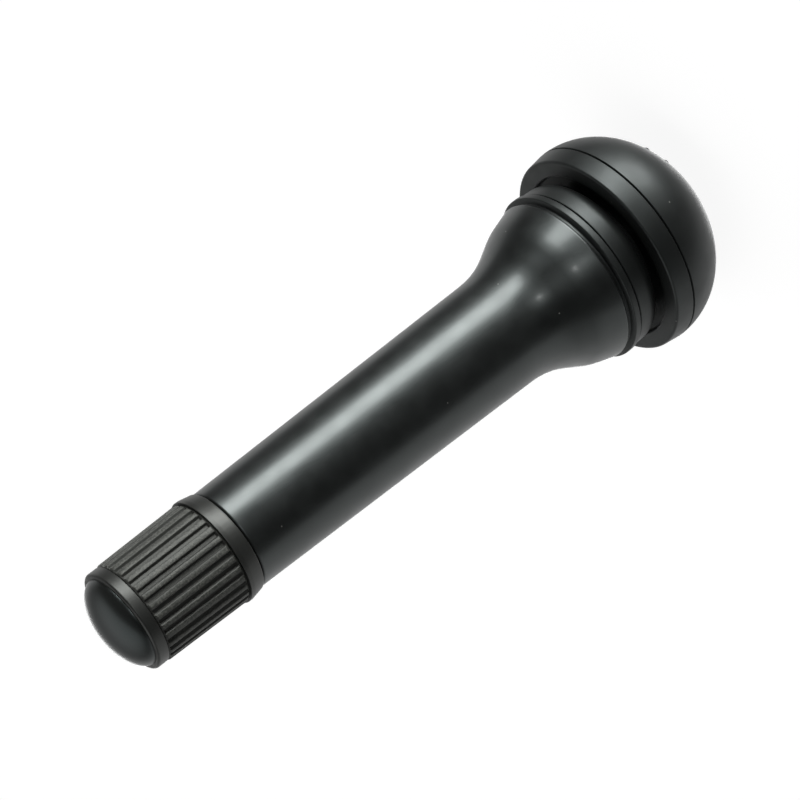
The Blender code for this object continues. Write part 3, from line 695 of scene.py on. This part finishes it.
def moulded_rubber(stem_finish, head_finish):
    """Head, flange, rim groove, bulge and stem cover in one moulding, duller on its head."""
    bulge_low = GROOVE_TOP + RIDGE_WIDTH + SLIT_WIDTH
    recess_floor = FLANGE_TOP - RECESS_DEPTH
    side = rounded([
        (HEAD_R - SEAM_DEPTH, HEAD_HEIGHT),
        (HEAD_R, HEAD_HEIGHT + SEAM_WIDTH / 2, SEAM_ROUND),
        (FLANGE_TOP_R, FLANGE_TOP, FLANGE_EDGE_ROUND),
        (SEAL_RING_IN_R, FLANGE_TOP, SEAL_LIP_ROUND),
        (SEAL_RING_IN_R - RECESS_SLOPE, recess_floor, SEAL_LIP_ROUND),
        (NECK_R, recess_floor),
        (NECK_R, NECK_TOP),
        (SHOULDER_R, SHOULDER_LOW, SHOULDER_ROUND),
        (SHOULDER_R, GROOVE_TOP - LINE_WIDTH / 2, RIDGE_ROUND),
        (SHOULDER_R - LINE_DEPTH, GROOVE_TOP),
        (RIDGE_R, GROOVE_TOP + LINE_WIDTH / 2, RIDGE_ROUND),
        (RIDGE_R, GROOVE_TOP + RIDGE_WIDTH, RIDGE_ROUND),
        (SLIT_R, GROOVE_TOP + RIDGE_WIDTH + SLIT_SLOPE, RIDGE_ROUND),
        (SLIT_R, bulge_low - SLIT_SLOPE, RIDGE_ROUND),
        (BULGE_R, bulge_low, BULGE_EDGE_ROUND),
        (BULGE_BARREL_R, bulge_low + BULGE_BARREL, BULGE_BARREL_ROUND),
        (COVER_LOW_R, bulge_low + BULGE_BARREL + BULGE_CONE, BULGE_BLEND_ROUND),
        (COVER_TOP_R, COVER_TOP, COVER_END_ROUND),
        (INSERT_R + FIT, COVER_TOP),
    ])
    inside = insert_outside(FIT)[::-1] + [(BASE_HOLE_R, BASE_LIP)]
    base = rounded([(BASE_HOLE_R, BASE), (BASE_R, BASE, BASE_EDGE_ROUND), head_outline(0.0)[0]])[:-1]

    def outline(turn):
        return base + head_outline(turn) + side + inside

    turns = whole_turn(RUBBER_STEPS)
    made = turned("moulded_rubber", outline, turns, stem_finish, "root", "rubber_body", "black_rubber")
    second_finish(made, head_finish, BASE, HEAD_FINISH_BELOW)


def threaded_insert(finish):
    """Brass insert: cut thread outside, the core's thread, cone and chamber inside."""
    thread_low = COVER_TOP + THREAD_START
    root = THREAD_R - THREAD_DEPTH
    bore = CORE_THREAD_R + FIT
    core_root = bore - CORE_THREAD_DEPTH
    core_ends = (CORE_THREAD_LOW, CORE_THREAD_HIGH)
    cone_top = GASKET_TOP_R + FIT

    def outline(turn):
        outside = insert_outside() + [(INSERT_R, thread_low)]
        outside += thread(turn, thread_low, MOUTH, root, THREAD_DEPTH, THREAD_PITCH)
        outside += [(bore + MOUTH_BEVEL, MOUTH), (bore, MOUTH - MOUTH_BEVEL)]
        cut = thread(turn, *core_ends, core_root, CORE_THREAD_DEPTH, CORE_THREAD_PITCH, inside=True)
        inside = [
            (bore, GASKET_TOP + bore - cone_top),
            (cone_top, GASKET_TOP),
            (CHAMBER_R, GASKET_LOW),
            (CHAMBER_R, CHAMBER_LOW + CHAMBER_R - AIR_R),
            (AIR_R, CHAMBER_LOW),
            (AIR_R, FOOT_LOW),
        ]
        return outside + cut[::-1] + inside

    turns = whole_turn(METAL_STEPS)
    turned("threaded_insert", outline, turns, finish, "root", "brass_stem", "brass")


def box_cutter(size, centre):
    """A box that cuts another piece."""
    bm = bmesh.new()
    bmesh.ops.create_cube(bm, size=1.0)
    for vert in bm.verts:
        vert.co = [c + s * v for c, s, v in zip(centre, size, vert.co)]
    mesh = bpy.data.meshes.new("cutter")
    bm.to_mesh(mesh)
    bm.free()
    made = bpy.data.objects.new("cutter", mesh)
    bpy.context.scene.collection.objects.link(made)
    return made


def cut_away(piece, size, centre):
    """Takes a box out of a piece for good."""
    cutter = box_cutter(size, centre)
    boolean = piece.modifiers.new("cut", "BOOLEAN")
    boolean.operation = "DIFFERENCE"
    boolean.solver = "EXACT"
    boolean.object = cutter
    evaluated = piece.evaluated_get(bpy.context.evaluated_depsgraph_get())
    mesh = bpy.data.meshes.new_from_object(evaluated)
    piece.modifiers.clear()
    piece.data = mesh
    mesh.set_sharp_from_angle(angle=SHARP)
    bpy.data.objects.remove(cutter)


def core_swivel(finish):
    """The core's threaded plug, with two ears for a core key."""
    root = CORE_THREAD_R - CORE_THREAD_DEPTH
    ends = (PLUG_THREAD_LOW, PLUG_THREAD_HIGH)

    def outline(turn):
        points = [
            (PLUG_BORE_R, PLUG_LOW),
            (PLUG_COLLAR_R, PLUG_LOW),
            (PLUG_COLLAR_R, PLUG_LOW + PLUG_COLLAR),
            (PLUG_NECK_R, PLUG_LOW + PLUG_COLLAR),
            (PLUG_NECK_R, PLUG_THREAD_LOW),
        ]
        points += thread(turn, *ends, root, CORE_THREAD_DEPTH, CORE_THREAD_PITCH)
        points += [(EAR_R, PLUG_THREAD_HIGH), (EAR_R, EAR_TOP), (PLUG_BORE_R, EAR_TOP)]
        return points

    made = turned("core_swivel", outline, whole_turn(SMALL_STEPS), finish, "plug", "core_plug", "brass")
    over = 2 * CORE_THREAD_R
    tall = 2 * (EAR_TOP - PLUG_THREAD_HIGH)
    for side in (-1, 1):
        cut_away(made, (2 * over, over, tall), (0.0, side * (EAR_WIDTH + over) / 2, EAR_TOP))
    cut_away(made, (2 * PLUG_BORE_R, over, tall), (0.0, 0.0, EAR_TOP))


def small_turned(name, corners, finish, body, node, slot):
    """A small round piece with the same outline all round."""
    outline = rounded(corners)
    turned(name, lambda turn: outline, whole_turn(SMALL_STEPS), finish, body, node, slot)


def hanging_barrel(finish):
    """The core's barrel with its head, gasket seat, shoulder and tail."""
    pocket_r = PLUG_COLLAR_R + FIT
    neck_r = PLUG_NECK_R + FIT
    corners = [
        (BARREL_LIP_BORE_R, BARREL_LOW),
        (BARREL_R, BARREL_LOW, BARREL_EDGE),
        (BARREL_R, BARREL_TAIL_TOP),
        (BARREL_SHOULDER_R, BARREL_TAIL_TOP, BARREL_EDGE),
        (BARREL_SHOULDER_R, SHOULDER_TOP, BARREL_EDGE),
        (GASKET_SEAT_R, SHOULDER_TOP),
        (GASKET_SEAT_R, BARREL_HEAD_LOW),
        (BARREL_HEAD_R, BARREL_HEAD_LOW, BARREL_EDGE),
        (BARREL_HEAD_R, BARREL_TOP, BARREL_EDGE),
        (neck_r, BARREL_TOP),
        (neck_r, PLUG_LOW + PLUG_COLLAR + CORE_SEAT),
        (pocket_r, PLUG_LOW + PLUG_COLLAR + CORE_SEAT),
        (pocket_r, PLUG_LOW - CORE_SEAT),
        (BARREL_BORE_R, PLUG_LOW - CORE_SEAT),
        (BARREL_BORE_R, BARREL_LIP_TOP),
        (BARREL_LIP_BORE_R, BARREL_LIP_TOP),
    ]
    small_turned("hanging_barrel", corners, finish, "core", "core_barrel", "brass")


def tapered_gasket(finish):
    """Sealing ring of the barrel."""
    corners = [
        (GASKET_IN_R, GASKET_LOW),
        (GASKET_LOW_R, GASKET_LOW, SEAL_EDGE),
        (GASKET_TOP_R, GASKET_TOP, SEAL_EDGE),
        (GASKET_IN_R, GASKET_TOP),
    ]
    small_turned("tapered_gasket", corners, finish, "core", "barrel_gasket", "gasket_plastic")


def core_needle(finish):
    """Pin with its button, its spring collar and its riveted end."""
    corners = [
        (0.0, PIN_LOW),
        (RIVET_R, PIN_LOW, RIVET_HEIGHT / 2),
        (RIVET_R, PIN_LOW + RIVET_HEIGHT),
        (PIN_R, PIN_LOW + RIVET_HEIGHT),
        (PIN_R, COLLAR_LOW),
        (COLLAR_R, COLLAR_LOW),
        (COLLAR_R, COLLAR_TOP),
        (PIN_R, COLLAR_TOP),
        (PIN_R, PIN_TOP - BUTTON_HEIGHT),
        (BUTTON_R, PIN_TOP - BUTTON_HEIGHT),
        (BUTTON_R, PIN_TOP, BUTTON_HEIGHT / 2),
        (0.0, PIN_TOP),
    ]
    small_turned("core_needle", corners, finish, "pin", "core_pin", "spring_steel")


def closing_cup(finish):
    """Cup on the pin's lower end."""
    corners = [
        (PIN_R + FIT, CUP_LOW),
        (CUP_R, CUP_LOW, BARREL_EDGE),
        (CUP_R, CUP_RIM_TOP),
        (CUP_IN_R, CUP_RIM_TOP),
        (CUP_IN_R, CUP_FLOOR_TOP),
        (PIN_R + FIT, CUP_FLOOR_TOP),
    ]
    small_turned("closing_cup", corners, finish, "pin", "pin_cup", "brass")


def flat_ring(name, inner, outer, low, high, finish, body, node, slot):
    """A flat ring with a slightly rounded rim."""
    corners = [(inner, low), (outer, low, SEAL_EDGE), (outer, high, SEAL_EDGE), (inner, high)]
    small_turned(name, corners, finish, body, node, slot)


def closing_spring(finish):
    """Wound spring with closed end coils, between the barrel's lip and the pin's collar."""
    low = BARREL_LIP_TOP + CORE_SEAT + WIRE_R
    high = COLLAR_LOW - CORE_SEAT - WIRE_R
    closed_rise = CLOSED_COILS * 2 * WIRE_R
    curve = bpy.data.curves.new("closing_spring", "CURVE")
    curve.dimensions = "3D"
    curve.bevel_depth = WIRE_R
    curve.bevel_resolution = 3
    curve.use_fill_caps = True
    spline = curve.splines.new("POLY")
    count = round(SPRING_TURNS * SPRING_STEPS)
    spline.points.add(count)
    for k, point in enumerate(spline.points):
        coil = SPRING_TURNS * k / count
        if coil < CLOSED_COILS:
            level = low + closed_rise * coil / CLOSED_COILS
        elif coil > SPRING_TURNS - CLOSED_COILS:
            level = high - closed_rise * (SPRING_TURNS - coil) / CLOSED_COILS
        else:
            share = (coil - CLOSED_COILS) / (SPRING_TURNS - 2 * CLOSED_COILS)
            level = low + closed_rise + (high - low - 2 * closed_rise) * share
        turn = 2 * math.pi * coil
        point.co = (SPRING_R * math.cos(turn), SPRING_R * math.sin(turn), level, 1.0)
    guide = bpy.data.objects.new("spring_guide", curve)
    bpy.context.scene.collection.objects.link(guide)
    evaluated = guide.evaluated_get(bpy.context.evaluated_depsgraph_get())
    mesh = bpy.data.meshes.new_from_object(evaluated)
    mesh.name = "closing_spring"
    bpy.data.objects.remove(guide)
    mesh.materials.clear()
    made = shown(mesh, finish, "core", "core_spring", "spring_steel")
    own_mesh(made)


def rib_edge(rib):
    """Half the width of a rib's crest, as a share of the pitch. No two ribs side by side are as wide."""
    return RIB_CREST_SHARE / 2 * (1 + RIB_UNEVEN * math.sin(RIB_UNEVEN_STEP * (rib % RIBS)))


def half_rib(rib):
    """Shares of the pitch from a rib's middle to the middle of the groove beside it."""
    edge = rib_edge(rib)
    crest = [share * edge for share in CREST_ROWS]
    flank = [edge + RIB_FLANK_SHARE * share for share in FLANK_ROWS]
    return crest + flank


def rib_turns():
    """Shares of a turn that follow the edges of the cap's ribs."""
    turns = []
    for rib in range(RIBS):
        turns += [(rib + share) / RIBS for share in half_rib(rib)]
        turns += [(rib + 0.5) / RIBS]
        turns += [(rib + 1 - share) / RIBS for share in half_rib(rib + 1)[:0:-1]]
    return turns + [1.0]


def groove_depth(turn):
    """How far the cap's surface lies under the ribs' tops at a share of a turn."""
    rib = round(turn * RIBS)
    away = abs(turn * RIBS - rib)
    edge = rib_edge(rib)
    crown = RIB_CROWN * min(1.0, away / edge) ** 2
    return crown + (RIB_DEPTH - crown) * smooth_step((away - edge) / RIB_FLANK_SHARE)


def dust_cap(finish, dome_finish):
    """Ribbed cap with a collar, an end band, a smooth low dome and the thread inside."""
    bore = THREAD_R + FIT
    seat = CAP_SEAL_R + FIT
    thread_low = CAP_RIM + CAP_THREAD_LEAD
    thread_high = CAP_SEAL_LOW - (bore - seat)
    root = bore - THREAD_DEPTH
    rim = COVER_TOP + CAP_SHOWN_GAP
    collar = rounded([
        (bore, rim),
        (CAP_RIM_R, rim, CAP_RIM_ROUND),
        (CAP_COLLAR_R, CAP_RIM + CAP_COLLAR_TAPER, COLLAR_BULGE_ROUND),
        (CAP_COLLAR_R, RIB_LOW - COLLAR_STEP / 2, COLLAR_STEP / 2),
        (RIB_LOW_R - END_NOTCH, RIB_LOW - COLLAR_STEP / 2),
    ])
    end_band = rounded([
        (BAND_R - END_NOTCH, RIB_TOP + COLLAR_STEP / 2),
        (BAND_R, RIB_TOP + COLLAR_STEP, COLLAR_STEP / 2),
        (BAND_R, BAND_TOP, BAND_ROUND),
        (CREASE_R, BAND_TOP),
    ])
    pocket = [
        (0.0, CAP_POCKET_TOP),
        (CAP_POCKET_R, CAP_POCKET_TOP),
        (CAP_POCKET_R, CAP_CEILING),
        (seat, CAP_CEILING),
        (seat, CAP_SEAL_LOW),
    ]
    dome = dome_arc()
    levels = rib_levels()

    def outline(turn):
        groove = groove_depth(turn)
        ribs = []
        for level, share in levels:
            along = (level - RIB_LOW) / (RIB_TOP - RIB_LOW)
            under = max(groove * share, END_NOTCH * (1 - share))
            ribs.append((RIB_LOW_R + (RIB_TOP_R - RIB_LOW_R) * along - under, level))
        cut = thread(turn, thread_low, thread_high, root, THREAD_DEPTH, THREAD_PITCH, inside=True)
        return collar + ribs + end_band + dome + pocket + cut[::-1]

    made = turned("dust_cap_shell", outline, rib_turns(), finish, "cap", "cap", "black_plastic")
    second_finish(made, dome_finish, CREASE, DOME_TOP)


def rib_levels():
    """Levels along the ribs with the share of their form at each: both ends run out in a thin notch."""
    levels = []
    for share in even(0.0, 1.0, RIB_END_ROWS):
        levels.append((RIB_LOW + RIB_END_SLOPE * share, smooth_step(share)))
    for level in even(RIB_LOW + RIB_END_SLOPE, RIB_TOP - RIB_END_SLOPE, RIB_ROWS)[1:-1]:
        levels.append((level, 1.0))
    for share in even(1.0, 0.0, RIB_END_ROWS):
        levels.append((RIB_TOP - RIB_END_SLOPE * share, smooth_step(share)))
    return levels


def dome_arc():
    """The cap's dome, an ellipse from just over its widest level to the axis."""
    depth = DOME_TOP - CREASE + DOME_SIDE
    edge = math.asin(DOME_SIDE / depth)
    reach = CREASE_R / math.cos(edge)
    angles = even(edge, math.pi / 2, DOME_ROWS)
    return [(reach * math.cos(t), DOME_TOP - depth * (1 - math.sin(t))) for t in angles]


def plain_floor():
    """Pale floor under the valve. It keeps the valve's shadow, and low light passes it."""
    mesh = bpy.data.meshes.new("floor")
    half = FLOOR_SIZE / 2
    corners = [(-half, -half, 0.0), (half, -half, 0.0), (half, half, 0.0), (-half, half, 0.0)]
    mesh.from_pydata(corners, [], [(0, 1, 2, 3)])
    made = bpy.data.objects.new("floor", mesh)
    bpy.context.scene.collection.objects.link(made)
    finish = bpy.data.materials.new("floor_paper")
    finish.use_nodes = True
    tree = finish.node_tree
    tree.nodes.remove(tree.nodes["Principled BSDF"])
    paper = tree.nodes.new("ShaderNodeBsdfDiffuse")
    paper.inputs["Color"].default_value = (FLOOR_TONE, FLOOR_TONE, FLOOR_TONE, 1.0)
    glow = tree.nodes.new("ShaderNodeEmission")
    glow.inputs["Strength"].default_value = FLOOR_GLOW
    clear = tree.nodes.new("ShaderNodeMixShader")
    both = tree.nodes.new("ShaderNodeAddShader")
    path = tree.nodes.new("ShaderNodeLightPath")
    tree.links.new(paper.outputs[0], both.inputs[0])
    tree.links.new(glow.outputs[0], both.inputs[1])
    tree.links.new(path.outputs["Is Camera Ray"], clear.inputs[0])
    tree.links.new(paper.outputs[0], clear.inputs[1])
    tree.links.new(both.outputs[0], clear.inputs[2])
    tree.links.new(clear.outputs[0], tree.nodes["Material Output"].inputs["Surface"])
    mesh.materials.append(finish)
    made.visible_glossy = False
    made.visible_shadow = False


def direction(azimuth, elevation):
    """Unit vector at an azimuth from -Y towards +X and an elevation."""
    flat = math.cos(elevation)
    return Vector((math.sin(azimuth) * flat, -math.cos(azimuth) * flat, math.sin(elevation)))


def panel_light(name, shape, place, span, radiance):
    """A flat light panel that faces the valve, placed and sized by angles as the valve sees it."""
    azimuth, elevation = map(math.radians, place)
    wide, tall = map(math.radians, span)
    lamp = bpy.data.lights.new(name, "AREA")
    lamp.shape = shape
    lamp.size = 2 * LIGHT_DISTANCE * math.tan(wide / 2)
    lamp.size_y = 2 * LIGHT_DISTANCE * math.tan(tall / 2)
    lamp.energy = WATTS_PER_RADIANCE * radiance * lamp.size * lamp.size_y
    made = bpy.data.objects.new(name, lamp)
    towards = direction(azimuth, elevation)
    made.location = LIGHT_TARGET + towards * LIGHT_DISTANCE
    made.rotation_mode = "QUATERNION"
    made.rotation_quaternion = (-towards).to_track_quat("-Z", "Y")
    made.visible_camera = False
    bpy.context.scene.collection.objects.link(made)


def studio_world():
    """White background, a pale surround on the table's side of the valve and a dim room on the other.

    A band over the horizon is shaded, as the table next to the valve is in its shadow. Reflections see the
    surround and not the white background, which would turn the black rubber grey.
    """
    world = bpy.data.worlds.new("studio")
    bpy.context.scene.world = world
    world.use_nodes = True
    tree = world.node_tree
    shown = tree.nodes["Background"]
    shown.inputs["Color"].default_value = (1.0, 1.0, 1.0, 1.0)
    shown.inputs["Strength"].default_value = 1.0
    place = tree.nodes.new("ShaderNodeTexCoord")
    lean = tree.nodes.new("ShaderNodeVectorMath")
    lean.operation = "DOT_PRODUCT"
    lean.inputs[1].default_value = direction(TABLE_UP_AZIMUTH, TABLE_UP_ELEVATION)
    tree.links.new(place.outputs["Generated"], lean.inputs[0])
    height = tree.nodes.new("ShaderNodeSeparateXYZ")
    tree.links.new(place.outputs["Generated"], height.inputs["Vector"])
    around = spread(tree, lean.outputs["Value"], HORIZON_LOW, HORIZON_HIGH, TABLE_LIGHT, ROOM_LIGHT)
    shaded = spread(tree, height.outputs["Z"], SHADED_FROM, SHADED_TO, 1.0, SHADED_SHARE)
    zenith = spread(tree, height.outputs["Z"], ZENITH_FROM, ZENITH_TO, 0.0, ZENITH_SHARE)
    upward = combined(tree, "MAXIMUM", shaded, zenith)
    lit = tree.nodes.new("ShaderNodeBackground")
    lit.inputs["Color"].default_value = (*SURROUND_COLOUR, 1.0)
    tree.links.new(combined(tree, "MULTIPLY", around, upward), lit.inputs["Strength"])
    path = tree.nodes.new("ShaderNodeLightPath")
    choice = tree.nodes.new("ShaderNodeMixShader")
    tree.links.new(path.outputs["Is Camera Ray"], choice.inputs[0])
    tree.links.new(lit.outputs[0], choice.inputs[1])
    tree.links.new(shown.outputs[0], choice.inputs[2])
    tree.links.new(choice.outputs[0], tree.nodes["World Output"].inputs["Surface"])


def photo_camera():
    """Camera that sees the valve as the photograph does: from above, rolled so the cap is lower left."""
    up = Vector(STEM_IN_VIEW).normalized()
    away = Vector((0.0, 0.0, -1.0))
    away = (away - away.dot(up) * up).normalized()
    turn = Matrix((away.cross(up), away, up))
    seam = Vector((0.0, 0.0, HEAD_HEIGHT))
    data = bpy.data.cameras.new("camera")
    data.sensor_width = SENSOR
    data.lens = LENS
    data.clip_start = NEAREST_SHOWN
    data.clip_end = FARTHEST_SHOWN
    made = bpy.data.objects.new("camera", data)
    made.matrix_world = Matrix.Translation(seam - turn @ Vector(SEAM_IN_VIEW)) @ turn.to_4x4()
    bpy.context.scene.collection.objects.link(made)
    bpy.context.scene.camera = made


def dress_valve():
    """Makes every piece of the valve with its finish."""
    stem_rubber = black_rubber("stem_rubber", STEM_ROUGHNESS, STEM_IOR, STEM_COAT)
    head_rubber = black_rubber("head_rubber", HEAD_ROUGHNESS, HEAD_IOR, HEAD_COAT)
    plastic = black_plastic("black_plastic", PLASTIC_ROUGHNESS, PLASTIC_TINT)
    dome_plastic = black_plastic("dome_plastic", DOME_ROUGHNESS, DOME_TINT)
    brass = turned_brass()
    steel = bright_steel()
    soft_seal = matt_seal("seal_rubber", SEAL_COLOUR, SEAL_SHADE, SEAL_ROUGHNESS)
    gasket = matt_seal("gasket_plastic", GASKET_COLOUR, GASKET_SHADE, GASKET_ROUGHNESS)
    moulded_rubber(stem_rubber, head_rubber)
    threaded_insert(brass)
    core_swivel(brass)
    hanging_barrel(brass)
    tapered_gasket(gasket)
    core_needle(steel)
    closing_cup(brass)
    washer = (PIN_R + FIT, WASHER_R, WASHER_LOW, WASHER_TOP)
    flat_ring("closing_washer", *washer, soft_seal, "pin", "cup_washer", "seal_rubber")
    closing_spring(steel)
    dust_cap(plastic, dome_plastic)
    seal = (CAP_SEAL_IN_R, CAP_SEAL_R, CAP_SEAL_LOW, CAP_SEAL_TOP)
    flat_ring("cap_sealing_ring", *seal, soft_seal, "seal", "cap_seal", "seal_rubber")


def light_valve():
    """The softbox and the small lamp of the photograph, and a weaker strip behind the valve."""
    panel_light("softbox", "RECTANGLE", SOFTBOX_PLACE, SOFTBOX_SPAN, SOFTBOX_RADIANCE)
    panel_light("small_lamp", "ELLIPSE", SMALL_LAMP_PLACE, SMALL_LAMP_SPAN, SMALL_LAMP_RADIANCE)
    panel_light("back_strip", "RECTANGLE", BACK_STRIP_PLACE, BACK_STRIP_SPAN, BACK_STRIP_RADIANCE)
    studio_world()


dress_valve()
plain_floor()
light_valve()
photo_camera()
bpy.context.scene.view_settings.view_transform = "Standard"
